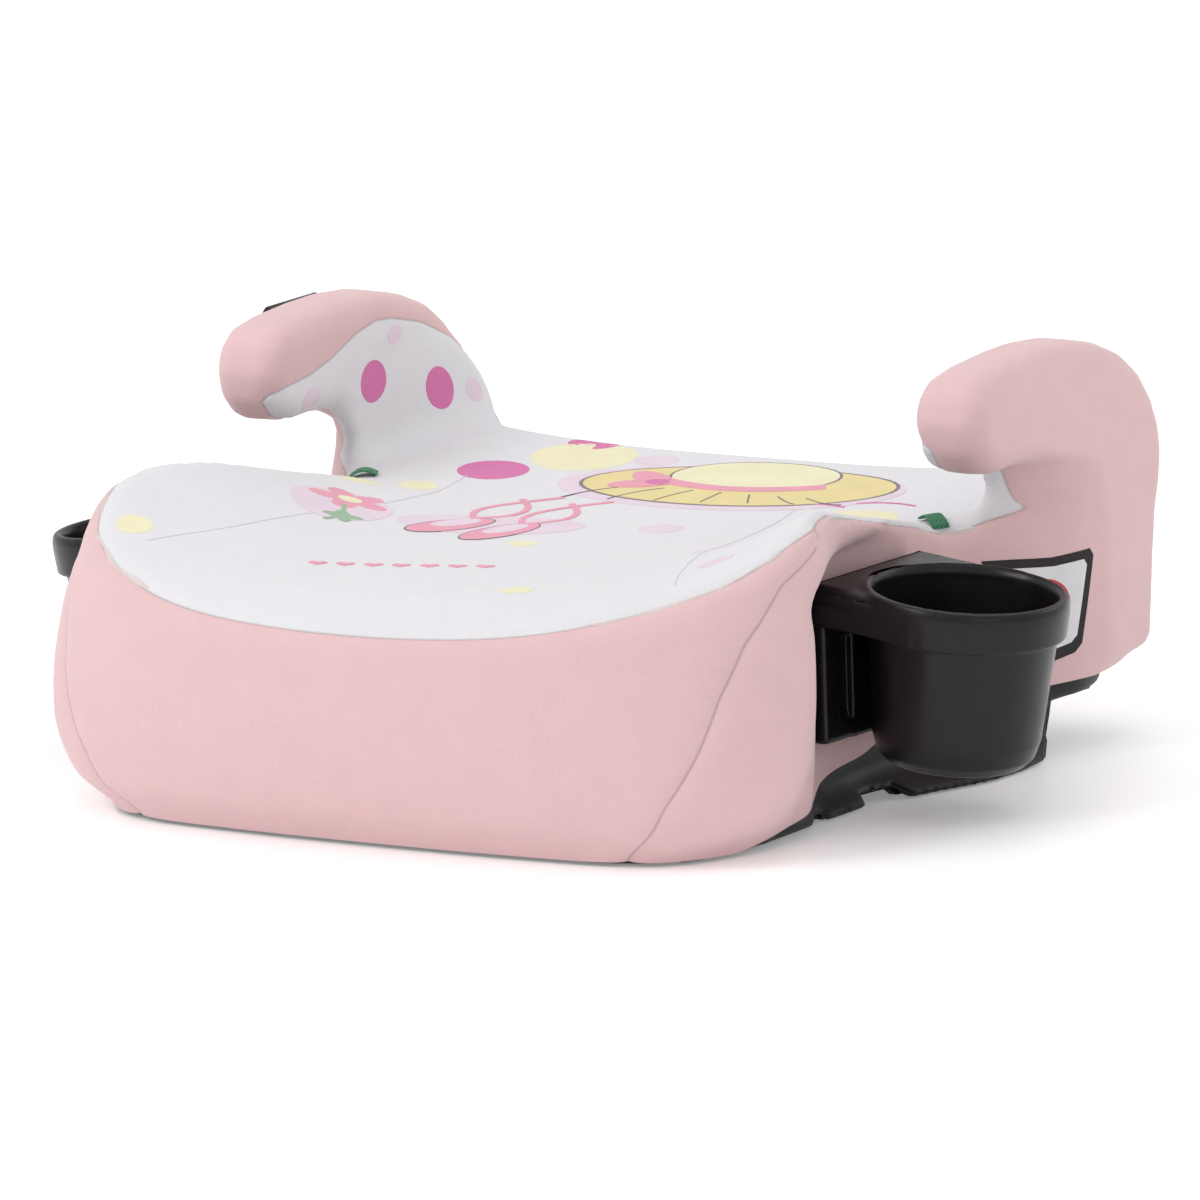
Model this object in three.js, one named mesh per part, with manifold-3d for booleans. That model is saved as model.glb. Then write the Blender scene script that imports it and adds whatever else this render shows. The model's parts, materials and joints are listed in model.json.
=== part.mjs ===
// Backless child booster seat: ribbed plastic base, seat core, foam, two curled armrests,
// sewn fabric cover, belt guides and two lift-off cup holders.
// Millimetres, +Z up. The front of the seat faces -Y, and the floor under its feet is z = 0.
import * as THREE from "three";
import { mergeVertices } from "three/addons/utils/BufferGeometryUtils.js";
import Module from "manifold-3d";

// ---- driving dimensions ----
const FRONT_Y = -216;          // foremost point of the cushion
const ARM_REAR_Y = 206;        // rearmost point of the armrests
const ARM_OUTER_X = 215;       // outer face of an armrest
const ARM_INNER_X = 178;       // inner face of an armrest
const ARM_EDGE = 12;           // edge rounding of an armrest
const DECK_Z = 92;             // top of the base shell, where the seat core stands
const WALL = 4;                // wall of the base shell
const COVER = 3;               // sewn cover with its backing
const FOAM = 8;                // comfort foam under the cover
const ARM_FOAM = 7;            // foam round an armrest frame
const GAP = 0.3;               // clearance between touching pieces
const RIB = 3;                 // ribs under the base deck
const BASE_REAR_Z = 28;        // underside of the base behind its rear feet
const SCREW_R = 2;
const PAD_T = 1.7;             // rubber foot pad
const CUP_LIFT = 12.5;         // lift that frees a holder from its hook
const CUP_CENTRE = [227.8, -20.8, 107.3];
const CUP_TILT = 6;            // degrees that a cup leans outwards
const CUP_YAW = 4.5;           // degrees that its plate faces forwards
const RING_R = 49.5;
const CUP_MOUTH_R = 43.3;
const CUP_FLOOR_R = 37.5;
const CUP_DEPTH = 83;
const CUP_WALL = 2.5;
const PLATE_BACK = -58.5;      // back edge of the holder plate from the cup axis
const PLATE_T = 18;
const BACK_PLATE_H = 70;
const BACK_PLATE_T = 9;
const RAIL_W = 26;             // neck of the rail that the holder hangs on
const RAIL_HEAD_W = 38;
const RAIL_H = 12;             // hook height: the slot below it is wide, so the holder comes free
const CLIP_Y = 92;             // belt clip on the left armrest
const STRAP_Y = 166;           // its strap, where it runs down behind the armrest's neck
const STRAP_W = 38;
const CLIP_W = 50;
const SHIFT_Y = 5;             // puts the middle of the whole seat at y = 0

const COLOURS = {
  black: [0x232124, 0.45],
  core: [0x3a3a3d, 0.6],
  foam: [0xe9e6dc, 0.95],
  pink: [0xefcccb, 0.85],
  white: [0xf2f1f4, 0.85],
  green: [0x42855c, 0.8],
  steel: [0xb8babd, 0.35],
  rubber: [0x19191a, 0.8],
  webbing: [0x1d1c1f, 0.85],
};

const wasm = await Module();
wasm.setup();
const deg = THREE.MathUtils.degToRad;
const clamp01 = (t) => Math.min(Math.max(t, 0), 1);

// ---- solids ----
function solidOf(geometry) {
  const bare = geometry.clone();
  bare.deleteAttribute("normal");
  bare.deleteAttribute("uv");
  const merged = mergeVertices(bare, 1e-4);
  return new wasm.Manifold(new wasm.Mesh({
    numProp: 3,
    vertProperties: merged.attributes.position.array,
    triVerts: new Uint32Array(merged.index.array),
  }));
}

function geometryOf(solid) {
  const m = solid.getMesh();
  const points = new Float32Array(m.numVert * 3);
  for (let i = 0; i < m.numVert; i++) {
    points.set(m.vertProperties.subarray(i * m.numProp, i * m.numProp + 3), i * 3);
  }
  const g = new THREE.BufferGeometry();
  g.setAttribute("position", new THREE.BufferAttribute(points, 3));
  g.setIndex(new THREE.BufferAttribute(m.triVerts, 1));
  g.computeVertexNormals();
  return g;
}

// The largest body of a cut, without the slivers beside it.
function mainBody(solid) {
  return solid.decompose().reduce((a, b) => (a.volume() > b.volume() ? a : b));
}

function box(x0, x1, y0, y1, z0, z1) {
  const g = new THREE.BoxGeometry(x1 - x0, y1 - y0, z1 - z0);
  g.translate((x0 + x1) / 2, (y0 + y1) / 2, (z0 + z1) / 2);
  return solidOf(g);
}

function rod(radius, length, place, turn = [0, 0, 0], sides = 12) {
  const g = new THREE.CylinderGeometry(radius, radius, length, sides);
  g.rotateX(Math.PI / 2);
  g.rotateX(turn[0]).rotateY(turn[1]).rotateZ(turn[2]);
  g.translate(...place);
  return solidOf(g);
}

// A turned solid about Z from a profile of [radius, z] points, starting and ending on the axis.
function turned(profile, sides = 40) {
  const g = new THREE.LatheGeometry(profile.map(([r, z]) => new THREE.Vector2(r, z)), sides);
  g.rotateX(Math.PI / 2);
  return solidOf(g);
}

// An outline of [a, b] points pushed along an axis: "x" reads it as (y, z), "y" as (x, z), "z" as (x, y).
function prism(points, axis, from, to) {
  const shape = new THREE.Shape(points.map(([a, b]) => new THREE.Vector2(a, b)));
  const g = new THREE.ExtrudeGeometry(shape, { depth: to - from, bevelEnabled: false });
  g.translate(0, 0, axis === "y" ? -to : from);
  if (axis === "x") {
    g.applyMatrix4(new THREE.Matrix4().set(0, 0, 1, 0, 1, 0, 0, 0, 0, 1, 0, 0, 0, 0, 0, 1));
  }
  if (axis === "y") g.rotateX(Math.PI / 2);
  return solidOf(g);
}

// A closed skin through rings of equal length, capped at both ends.
function loft(rings) {
  const n = rings[0].length;
  const points = rings.flat();
  const faces = [];
  for (let i = 0; i + 1 < rings.length; i++) {
    for (let j = 0; j < n; j++) {
      const a = i * n + j;
      const b = i * n + (j + 1) % n;
      faces.push(a, b, b + n, a, b + n, a + n);
    }
  }
  const caps = [[0, false], [rings.length - 1, true]];
  for (const [ring, up] of caps) {
    const middle = points.length;
    points.push([0, 0, rings[ring][0][2]]);
    for (let j = 0; j < n; j++) {
      const a = ring * n + j;
      const b = ring * n + (j + 1) % n;
      faces.push(middle, up ? a : b, up ? b : a);
    }
  }
  const g = new THREE.BufferGeometry();
  g.setAttribute("position", new THREE.Float32BufferAttribute(points.flat(), 3));
  g.setIndex(faces);
  return solidOf(g);
}

// ---- shape of the cushion ----
// A smooth function through [position, value] points, level at both ends.
function curve(points) {
  const xs = points.map((p) => p[0]);
  const ys = points.map((p) => p[1]);
  const slopes = ys.map((_, i) => {
    if (i === 0 || i === ys.length - 1) return 0;
    const before = (ys[i] - ys[i - 1]) / (xs[i] - xs[i - 1]);
    const after = (ys[i + 1] - ys[i]) / (xs[i + 1] - xs[i]);
    return before * after <= 0 ? 0 : 2 * before * after / (before + after);
  });
  return (x) => {
    if (x <= xs[0]) return ys[0];
    if (x >= xs.at(-1)) return ys.at(-1);
    const i = xs.findIndex((v) => v > x) - 1;
    const h = xs[i + 1] - xs[i];
    const t = (x - xs[i]) / h;
    return ys[i] * (1 + 2 * t) * (1 - t) ** 2 + slopes[i] * h * t * (1 - t) ** 2
      + ys[i + 1] * t * t * (3 - 2 * t) + slopes[i + 1] * h * t * t * (t - 1);
  };
}

// Half width of the seat at its crest, and of its base at the floor, against y.
const crestX = curve([[-150, 213], [-125, 210], [-103, 205], [-78, 195], [-46, 184], [-27, 181],
  [-6, 179.5], [9, 179], [31, 177], [48, 176], [60, 175], [80, 185], [105, 203], [130, 212]]);
const footX = curve([[-180, 166], [-125, 173], [-29, 178], [11, 192], [58, 208], [95, 206],
  [140, 203], [180, 196]]);
const footShare = curve([[0, 1], [20, 0.5], [46, 0.14], [75, 0.02], [95, 0]]);
const waist = curve([[-150, 0], [-125, 5], [-110, 11], [-90, 18], [-77, 22], [-60, 23], [-47, 22],
  [-20, 18], [0, 14], [25, 9.5], [44, 6], [64, 0]]);
const besideHolder = curve([[-110, 0], [-68, 1], [50, 1], [80, 0]]);
const waistFade = curve([[108, 1], [136, 0]]);
const topIn = curve([[95, 0], [122, 4], [143, 9]]);
const frontIn = curve([[0, 26], [20, 13], [46, 5], [75, 0.5], [95, 0], [107, 1], [125, 11],
  [160, 26]]);
const rearLine = curve([[0, 178], [28, 181], [45, 184], [62, 187], [80, 190], [100, 194],
  [120, 198], [160, 200]]);
const seatMiddle = curve([[-216, 112], [-170, 118], [-110, 117], [-40, 114], [40, 113],
  [110, 116], [190, 119.5]]);
const crestZ = curve([[-216, 132], [-160, 146], [-130, 155.7], [-105, 161], [-80, 164.5],
  [-60, 163], [-45, 158.8], [-22, 150.9], [0, 142.9], [20, 136.6], [43, 129.4], [65, 122],
  [90, 124], [130, 130], [190, 137]]);
const crestRoll = curve([[-130, 16], [-78, 18], [-46, 14], [-27, 10], [-6, 6], [9, 4], [60, 4]]);
const HEM = [[-146, 2.5], [-128, 5], [-85, 12], [-43, 19], [-15, 22], [5, 28], [60, 35],
  [108, 37], [165, 39]];
const bow = (x, z) => (30 * (x / 200) ** 2 + 42 * (x / 200) ** 4) * (0.3 + 0.7 * clamp01(z / 107));
const seamZ = (x) => 107.6 + 19.4 * (x / 200) ** 2 + 16.5 * (x / 200) ** 4;
const CORNER = 46;             // blend between the front, side and rear walls

function roundMax(a, b, width) {
  const h = Math.max(width - Math.abs(a - b), 0) / width;
  return Math.max(a, b) + h * h * width / 4;
}

// Distance outside the cushion's walls, as seen from above at one height.
function outsideWall(x, y, z) {
  const crest = crestX(y) - waist(y) * waistFade(z);
  const share = footShare(z) ** (1 + 3 * besideHolder(y));
  const half = crest + (footX(y) - crest) * share - topIn(z);
  const side = Math.abs(x) - half;
  const front = FRONT_Y + frontIn(z) + bow(x, z) - y;
  const rear = y - rearLine(z) + 5 * (x / 200) ** 2;
  return roundMax(roundMax(side, front, CORNER), rear, CORNER);
}

function wallRing(z, inset, count = 52) {
  return Array.from({ length: count }, (_, i) => {
    const angle = 2 * Math.PI * i / count;
    let low = 0;
    let high = 340;
    for (let step = 0; step < 30; step++) {
      const r = (low + high) / 2;
      const outside = outsideWall(r * Math.cos(angle), r * Math.sin(angle), z) + inset > 0;
      if (outside) high = r;
      else low = r;
    }
    return [low * Math.cos(angle), low * Math.sin(angle), z];
  });
}

const WALL_Z = [-4, 12, 28, 46, 70, 96, 118, 134, 160];

// The space inside the walls between two heights. One set of rings keeps every inset nested.
function walls(inset, from, to) {
  return loft(WALL_Z.map((z) => wallRing(z, inset)))
    .trimByPlane([0, 0, 1], from).trimByPlane([0, 0, -1], -to);
}

function topZ(x, y) {
  const half = crestX(y);
  const middle = seatMiddle(y);
  const dish = middle + (crestZ(y) - middle) * clamp01(Math.abs(x) / half) ** 3.1;
  const back = clamp01((y - FRONT_Y - bow(x, 107)) / 50);
  const front = seamZ(Math.min(Math.abs(x), 205));
  const edge = 1 - clamp01((half - Math.abs(x)) / 24);
  const rear = 1 - clamp01((200 - y) / 25);
  return front + (dish - front) * (1 - (1 - back) ** 2) - crestRoll(y) * edge ** 2 * back
    - 3 * rear ** 2;
}

// Everything below the seat surface, lowered by the inset.
function underTop(inset) {
  const xs = [-245, -220, -205, -190, -172, -145, -105, -55, 0, 55, 105, 145, 172, 190, 205, 220, 245];
  const ys = [-245, -222, -208, -194, -176, -150, -120, -90, -60, -30, 0, 30, 60, 90, 120, 160, 180,
    192, 204, 235];
  const n = xs.length;
  const points = [];
  const faces = [];
  for (const level of [0, 1]) {
    for (const y of ys) {
      for (const x of xs) points.push(x, y, level ? topZ(x, y) - inset : -20);
    }
  }
  const upper = n * ys.length;
  for (let j = 0; j + 1 < ys.length; j++) {
    for (let i = 0; i + 1 < n; i++) {
      const a = j * n + i;
      const [b, c, d] = [a + 1, a + n + 1, a + n];
      faces.push(a, c, b, a, d, c);
      faces.push(upper + a, upper + b, upper + c, upper + a, upper + c, upper + d);
    }
  }
  const rim = [];
  for (let i = 0; i < n - 1; i++) rim.push(i);
  for (let j = 0; j < ys.length - 1; j++) rim.push(j * n + n - 1);
  for (let i = n - 1; i > 0; i--) rim.push((ys.length - 1) * n + i);
  for (let j = ys.length - 1; j > 0; j--) rim.push(j * n);
  rim.forEach((a, k) => {
    const b = rim[(k + 1) % rim.length];
    faces.push(a, b, upper + b, a, upper + b, upper + a);
  });
  const g = new THREE.BufferGeometry();
  g.setAttribute("position", new THREE.Float32BufferAttribute(points, 3));
  g.setIndex(faces);
  return solidOf(g);
}

// ---- shape of an armrest, seen from its side ----
const ARM_PROFILE = [[95, 70], [96, 100], [95, 118], [93, 132], [88, 142], [78, 149.5], [60, 151.5],
  [40, 151], [28, 154], [19, 164], [16, 178], [20, 190], [30, 198], [48, 201], [72, 202.5],
  [98, 203], [125, 201], [150, 195.5], [170, 188], [185, 178], [197, 164], [204, 149],
  [ARM_REAR_Y, 134], [203, 119], [196, 105], [190, 92], [184, 70]];

// The lap belt's slanting path across an armrest's neck, wider by the inset.
function beltPath(inset) {
  const [dx, dy] = [-0.794 * inset, 0.608 * inset];
  return prism([[178 + dx, 83 + dy], [178 + dx, 40], [240, 40], [240 + dx, 164 + dy]], "z",
    40, 150 + inset);
}

// The solid stands on the deck and leans on nothing else.
function armrest(side, inset, from = DECK_Z + GAP) {
  const outline = ARM_PROFILE.map(([y, z]) => new THREE.Vector2(y, z));
  const edge = Math.max(ARM_EDGE - inset, 1);
  const flat = ARM_OUTER_X - ARM_INNER_X - 2 * (inset + edge);
  const g = new THREE.ExtrudeGeometry(new THREE.Shape(outline), {
    depth: flat,
    bevelThickness: edge,
    bevelSize: edge,
    bevelOffset: -edge - inset,
    bevelSegments: 4,
  });
  g.translate(0, 0, ARM_INNER_X + inset + edge);
  g.applyMatrix4(new THREE.Matrix4().set(0, 0, 1, 0, 1, 0, 0, 0, 0, 1, 0, 0, 0, 0, 0, 1));
  const solid = solidOf(g).trimByPlane([0, 0, 1], from).subtract(beltPath(inset));
  return side > 0 ? solid : solid.mirror([1, 0, 0]);
}

const SIDES = [["left", -1], ["right", 1]];
const bothArms = (inset) => armrest(1, inset, DECK_Z).add(armrest(-1, inset, DECK_Z));

// ---- materials and the finished group ----
const seat = new THREE.Group();

function add(name, solid, colour) {
  const [hex, roughness] = COLOURS[colour];
  const metalness = colour === "steel" ? 0.9 : 0;
  const material = new THREE.MeshStandardMaterial({ color: hex, roughness, metalness });
  const mesh = new THREE.Mesh(geometryOf(solid), material);
  mesh.name = name;
  seat.add(mesh);
}

// ---- cup holders: one moulding each, hung on a rail through the cover ----
// Built about the middle of the mouth: x points away from the seat, and the back plate is upright.
function holderPlace(solid, side) {
  const turn = new THREE.Matrix4().makeRotationZ(deg(-CUP_YAW));
  turn.setPosition(...CUP_CENTRE);
  const placed = solid.transform(turn.elements);
  return side > 0 ? placed : placed.mirror([1, 0, 0]);
}

function tilted(solid) {
  return solid.transform(new THREE.Matrix4().makeRotationY(deg(CUP_TILT)).elements);
}

function cupHolder() {
  const shoulder = CUP_MOUTH_R + CUP_WALL;
  const far = RING_R - 1;
  const plate = prism([[PLATE_BACK - 2, -far], [0, -far], [0, far], [PLATE_BACK - 2, far]], "z",
    -PLATE_T, -3);
  const plateTop = prism([[PLATE_BACK - 2, 6 - far], [0, 6 - far], [0, far], [PLATE_BACK - 2, far]],
    "z", -4, -0.5);
  const ring = turned([[0, -PLATE_T], [RING_R - 1.5, -PLATE_T], [RING_R, -5], [RING_R - 1.5, -1],
    [RING_R - 4, 1.5], [0, 1.5]]);
  const body = turned([[0, -CUP_DEPTH], [CUP_FLOOR_R - 9, -CUP_DEPTH], [CUP_FLOOR_R - 2, 3 - CUP_DEPTH],
    [CUP_FLOOR_R + CUP_WALL, 12 - CUP_DEPTH], [shoulder - 1, 1 - PLATE_T], [0, 1 - PLATE_T]]);
  const hollow = turned([[0, CUP_WALL - CUP_DEPTH], [CUP_FLOOR_R - 8, CUP_WALL - CUP_DEPTH],
    [CUP_FLOOR_R, 13 - CUP_DEPTH], [CUP_MOUTH_R, 0], [CUP_MOUTH_R + 2, 3], [0, 3]]);
  const collar = turned([[0, -40], [shoulder + 1.5, -40], [shoulder + 1.5, 4], [0, 4]]);
  const underPlate = box(PLATE_BACK + BACK_PLATE_T, -2, 3.5 - far, far - 3.5, -PLATE_T - 1, -4);
  const head = tilted(plate.add(plateTop).add(ring).subtract(underPlate.subtract(collar)).add(body));
  const back = box(PLATE_BACK, PLATE_BACK + BACK_PLATE_T, 2 - far, far - 2, -BACK_PLATE_H, -2);
  const recess = box(PLATE_BACK + 5, PLATE_BACK + 20, 14 - far, far - 14, 8 - BACK_PLATE_H,
    -PLATE_T - 6);
  const web = box(PLATE_BACK + 4, -CUP_FLOOR_R, -2, 2, -PLATE_T - 34, -8);
  const pad = box(PLATE_BACK + 3, PLATE_BACK + BACK_PLATE_T, -RAIL_HEAD_W / 2 - 4,
    RAIL_HEAD_W / 2 + 4, -BACK_PLATE_H, 4 - PLATE_T);
  const neckSlot = box(PLATE_BACK - 1, PLATE_BACK + 3, -RAIL_W / 2 - GAP, RAIL_W / 2 + GAP,
    -BACK_PLATE_H - 1, -PLATE_T);
  const release = box(PLATE_BACK - 1, PLATE_BACK + 3, -RAIL_HEAD_W / 2 - 2, RAIL_HEAD_W / 2 + 2,
    -BACK_PLATE_H - 1, -PLATE_T - RAIL_H - 1);
  const headSlot = box(PLATE_BACK + 2, PLATE_BACK + 6.5, -RAIL_HEAD_W / 2 - GAP,
    RAIL_HEAD_W / 2 + GAP, -BACK_PLATE_H - 1, -PLATE_T);
  return head.add(back.subtract(recess)).add(pad).add(web).subtract(tilted(hollow))
    .subtract(neckSlot).subtract(release).subtract(headSlot).trimByPlane([1, 0, 0], PLATE_BACK);
}

function cupRail() {
  const top = -PLATE_T - GAP;
  const neck = box(PLATE_BACK - 22, PLATE_BACK + 2.5, -RAIL_W / 2, RAIL_W / 2, top - RAIL_H, top);
  const head = box(PLATE_BACK + 2.3, PLATE_BACK + 6, -RAIL_HEAD_W / 2, RAIL_HEAD_W / 2,
    top - RAIL_H, top);
  return neck.add(head);
}

const holder = cupHolder();
const railHole = box(PLATE_BACK - 40, PLATE_BACK + 3, -RAIL_W / 2 - 2 * GAP, RAIL_W / 2 + 2 * GAP,
  -PLATE_T - RAIL_H - 3 * GAP, -PLATE_T + GAP);
// Room that a holder needs against the cover, over its whole travel.
const holderRoom = box(PLATE_BACK - GAP, 60, -RING_R - 3, RING_R + 3, -BACK_PLATE_H - 3, CUP_LIFT + 12);
const railScrewY = [-8, 8];
const railScrew = (y, gap) => {
  const z = -PLATE_T - GAP - RAIL_H / 2;
  return rod(SCREW_R + gap, 24, [PLATE_BACK - 7, y, z], [0, Math.PI / 2, 0])
    .add(rod(4 + gap, 3 + 2 * gap, [PLATE_BACK + 3.5 + gap, y, z], [0, Math.PI / 2, 0]));
};

function bothSides(solid) {
  return holderPlace(solid, 1).add(holderPlace(solid, -1));
}

// ---- base: one ribbed moulding on six pads ----
const hemCut = prism([[-260, -20], [-260, 2.5], ...HEM, [260, 41], [260, -20]], "x", -260, 260);
const underRear = prism([[96, -5], [108, BASE_REAR_Z], [260, BASE_REAR_Z], [260, -5]], "x", -260, 260);
const notches = prism([[-74, -5], [-71, 4], [-64, 4], [-60, -5]], "x", -260, 260)
  .add(prism([[-29, -5], [-25, 5], [-4, 5], [0, -5]], "x", -260, 260));
const BASE_Z = PAD_T + GAP;
const baseInset = COVER + GAP;
let base = walls(baseInset, BASE_Z, DECK_Z).subtract(walls(baseInset + WALL, -4, DECK_Z - WALL));
const ribs = [-70, 70].map((x) => box(x - RIB / 2, x + RIB / 2, -230, 230, 8, DECK_Z - 2));
ribs.push(...[-70, 60].map((y) => box(-230, 230, y - RIB / 2, y + RIB / 2, 8, DECK_Z - 2)));
const ribRoom = walls(baseInset + 2, 0, DECK_Z);
for (const rib of ribs) base = base.add(rib.intersect(ribRoom));
const PADS = [["front", 142, -152], ["middle", 160, -46], ["rear", 182, 46]];
for (const [, sign] of SIDES) {
  for (const [, x, y] of PADS) {
    const block = box(sign * x - 20, sign * x + 20, y - 13, y + 13, BASE_Z, 12);
    base = base.add(block.intersect(walls(baseInset + 1, 0, 20)));
  }
}
base = base.subtract(underRear).subtract(notches);

// Frames stand on the deck and are screwed from below.
const ARM_SCREW_X = 194;
const ARM_SCREW_Y = [130, 158];
const armScrew = (sign, y, gap) => rod(SCREW_R + gap, 34, [sign * ARM_SCREW_X, y, DECK_Z + 10])
  .add(rod(4.5 + gap, 3, [sign * ARM_SCREW_X, y, DECK_Z - WALL - GAP - 1.5]));
const CORE_SCREWS = [[-90, -50], [90, -50], [-90, 110], [90, 110]];
const coreScrew = ([x, y], gap) => rod(SCREW_R + gap, 18, [x, y, DECK_Z + 1])
  .add(rod(4.5 + gap, 3, [x, y, DECK_Z - WALL - GAP - 1.5]));

for (const [, sign] of SIDES) {
  for (const y of ARM_SCREW_Y) {
    base = base.subtract(rod(SCREW_R + GAP, 30, [sign * ARM_SCREW_X, y, DECK_Z]));
    base = base.subtract(rod(6.5, 30, [sign * ARM_SCREW_X, y, DECK_Z - WALL - 15]));
  }
}
for (const place of CORE_SCREWS) base = base.subtract(coreScrew(place, GAP));
for (const y of railScrewY) base = base.subtract(bothSides(railScrew(y, GAP)));
add("base_shell", mainBody(base), "black");
for (const [side, sign] of SIDES) {
  for (const [row, x, y] of PADS) {
    const pad = box(sign * x - 17, sign * x + 17, y - 11, y + 11, 0, PAD_T);
    add(`foot_pad_${row}_${side}`, mainBody(pad.intersect(walls(baseInset + 2.5, -1, 14))), "rubber");
  }
}

// ---- seat core, foam and armrest frames ----
let core = walls(baseInset, DECK_Z + GAP, 160)
  .intersect(underTop(COVER + FOAM + 2 * GAP)).subtract(bothArms(-GAP))
  .subtract(bothSides(railHole)).subtract(bothSides(holderRoom));
for (const place of CORE_SCREWS) core = core.subtract(coreScrew(place, GAP));
add("seat_core", mainBody(core), "core");
CORE_SCREWS.forEach((place, i) => add(`core_screw_${i + 1}`, coreScrew(place, 0), "steel"));
const foam = walls(baseInset, DECK_Z, 160).intersect(underTop(COVER + GAP))
  .subtract(underTop(COVER + GAP + FOAM)).subtract(bothArms(-GAP)).subtract(bothSides(holderRoom));
add("seat_foam", mainBody(foam), "foam");
for (const [side, sign] of SIDES) {
  let frame = armrest(sign, COVER + ARM_FOAM + 2 * GAP);
  for (const y of ARM_SCREW_Y) frame = frame.subtract(armScrew(sign, y, GAP));
  add(`armrest_frame_${side}`, frame, "core");
  ARM_SCREW_Y.forEach((y, i) => add(`armrest_screw_${side}_${i + 1}`, armScrew(sign, y, 0), "steel"));
  const pad = armrest(sign, COVER + GAP).subtract(armrest(sign, COVER + ARM_FOAM + GAP));
  add(`armrest_foam_${side}`, mainBody(pad), "foam");
}

// ---- sewn cover ----
const armGap = bothArms(-GAP);
const top = walls(baseInset, DECK_Z, 160).intersect(underTop(0))
  .subtract(underTop(COVER)).subtract(armGap).subtract(bothSides(holderRoom));
add("cover_top", mainBody(top), "white");
const band = walls(0, 0, 160).subtract(walls(COVER, -4, 160))
  .intersect(underTop(0)).subtract(hemCut).subtract(armGap).subtract(bothSides(railHole))
  .subtract(bothSides(holderRoom));
// Seams between the front, side and rear panels: upright planes, seen from above.
const seamPlane = (x, y, lean, sign) => {
  const normal = new THREE.Vector3(sign * 0.6, 1, lean).normalize();
  return [normal.toArray(), normal.dot(new THREE.Vector3(sign * x, y, 60))];
};
let sideBand = band;
let frontBand = band;
for (const sign of [1, -1]) {
  const [normal, offset] = seamPlane(185, -176, -0.62, sign);
  const cut = (solid, n, o) => solid.trimByPlane(n, o);
  const half = box(sign > 0 ? 0 : -260, sign > 0 ? 260 : 0, -260, 260, -10, 220);
  const inFront = half.subtract(half.trimByPlane(normal, offset - GAP / 2));
  const behind = cut(half, normal, offset + GAP / 2);
  frontBand = frontBand.subtract(half.subtract(inFront));
  sideBand = sideBand.subtract(half.subtract(behind));
}
add("cover_front", mainBody(frontBand), "pink");
const REAR_SEAM_X = 172;
const rearBox = box(-REAR_SEAM_X, REAR_SEAM_X, 120, 260, -10, 220);
add("cover_rear", mainBody(sideBand.intersect(rearBox)), "pink");
const rearRoom = box(-REAR_SEAM_X - GAP, REAR_SEAM_X + GAP, 120, 260, -10, 220);
for (const [side, sign] of SIDES) {
  const half = box(sign > 0 ? 1 : -260, sign > 0 ? 260 : -1, -260, 260, -10, 220);
  add(`cover_side_${side}`, mainBody(sideBand.intersect(half).subtract(rearRoom)), "pink");
  const skin = armrest(sign, 0).subtract(armrest(sign, COVER, 20));
  const innerX = ARM_INNER_X + 6;
  const [low, high] = sign > 0 ? [0, innerX] : [-innerX, 0];
  const innerSide = box(low, high, -260, 260, 0, 260);
  const room = box(low - (sign > 0 ? 0 : GAP), high + (sign > 0 ? GAP : 0), -260, 260, 0, 260);
  add(`cover_armrest_inner_${side}`, mainBody(skin.intersect(innerSide)), "white");
  add(`cover_armrest_outer_${side}`, mainBody(skin.subtract(room)), "pink");
}

// ---- belt guides ----
for (const [side, sign] of SIDES) {
  const x0 = sign > 0 ? 153 : -169;
  const tag = box(x0, x0 + 16, 60, 76, 100, 150).intersect(underTop(-GAP - 2))
    .subtract(underTop(-GAP));
  add(`belt_guide_${side}`, mainBody(tag), "green");
}

// ---- cup holders on their rails ----
for (const [side, sign] of SIDES) {
  add(`cup_holder_${side}`, holderPlace(holder, sign), "black");
  let rail = cupRail();
  for (const y of railScrewY) rail = rail.subtract(railScrew(y, GAP));
  add(`cup_rail_${side}`, mainBody(holderPlace(rail, sign).subtract(walls(COVER, 0, 160))), "black");
  railScrewY.forEach((y, i) => {
    add(`rail_screw_${side}_${i + 1}`, holderPlace(railScrew(y, 0), sign), "steel");
  });
}

// ---- shoulder-belt strap, folded behind the armrest, with its clip over the armrest's edge ----
const outX = -ARM_OUTER_X - GAP;
const corner = [outX + GAP + ARM_EDGE, 203 - ARM_EDGE];
const arc = (r, steps = 4) => Array.from({ length: steps + 1 }, (_, i) => {
  const angle = Math.PI - (Math.PI / 4) * i / steps;
  return [corner[0] + r * Math.cos(angle), corner[1] + r * Math.sin(angle)];
});
const CLIP_T = 4;
const inner = ARM_EDGE + 0.6;
const clipOutline = [[corner[0] - inner, 150], ...arc(inner), ...arc(inner + CLIP_T).reverse(),
  [corner[0] - inner - CLIP_T, 150]];
const strapX = corner[0] - inner - CLIP_T / 2;
const STRAP_TOP = 190;
const strapLow = STRAP_TOP - STRAP_W;
const fold = [STRAP_Y - STRAP_W / 2, STRAP_Y + STRAP_W / 2];
const slot = box(strapX - 1.1, strapX + 1.1, CLIP_Y + 9, CLIP_Y + CLIP_W, strapLow - GAP,
  STRAP_TOP + GAP);
const clip = prism(clipOutline.reverse(), "y", CLIP_Y - CLIP_W / 2, CLIP_Y + CLIP_W / 2);
add("belt_clip", mainBody(clip.subtract(slot)), "black");
const strap = prism([[CLIP_Y + 9.5, strapLow], [fold[0], strapLow], [fold[0], 34], [fold[1], 34],
  [fold[1], strapLow], [fold[0], STRAP_TOP], [CLIP_Y + 9.5, STRAP_TOP]], "x", strapX - 0.8,
strapX + 0.8);
add("clip_strap", strap, "webbing");
const anchor = box(strapX - 4, -190, STRAP_Y - 22, STRAP_Y + 22, 22, 35.5)
  .subtract(walls(COVER, 0, 160)).subtract(box(strapX - 1.1, strapX + 1.1,
    fold[0] - GAP, fold[1] + GAP, 33.5, 50));
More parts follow.
